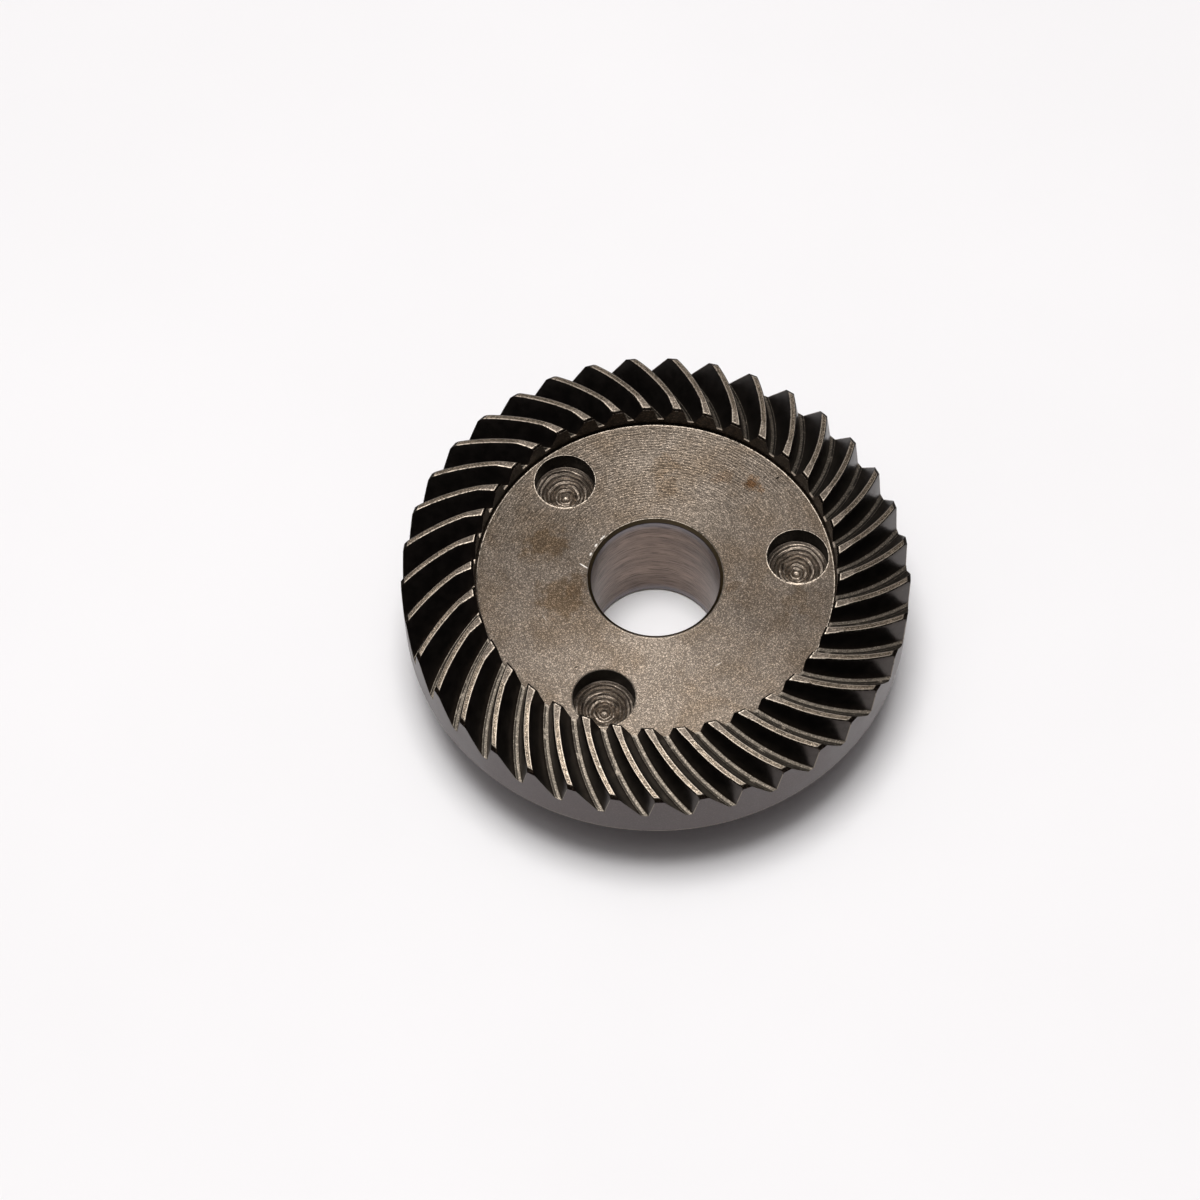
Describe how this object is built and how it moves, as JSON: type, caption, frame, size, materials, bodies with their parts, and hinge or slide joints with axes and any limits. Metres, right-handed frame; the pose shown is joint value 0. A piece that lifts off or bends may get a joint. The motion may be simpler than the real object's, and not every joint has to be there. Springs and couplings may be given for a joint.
{
  "type": "spiral bevel gear",
  "caption": "Flat ring-shaped spiral bevel gear with curved teeth round its rim, a plain central bore, blind lock-pin holes in its flat face and a short hub on its back.",
  "frame": {"origin": "centre of the bore at the hub's bottom face", "axes": "+Z along the bore axis, from the hub's back towards the toothed face; +X from the axis through the centre of one blind hole; +Y completes a right-handed frame"},
  "size_m": [0.059, 0.059, 0.0198],
  "materials": {
    "gear_steel": "satin machined and hardened alloy steel, darker on the tooth flanks, with light rust staining on the flat face"
  },
  "bodies": {
    "root": {"gear": "gear_steel"}
  },
  "joints": []
}
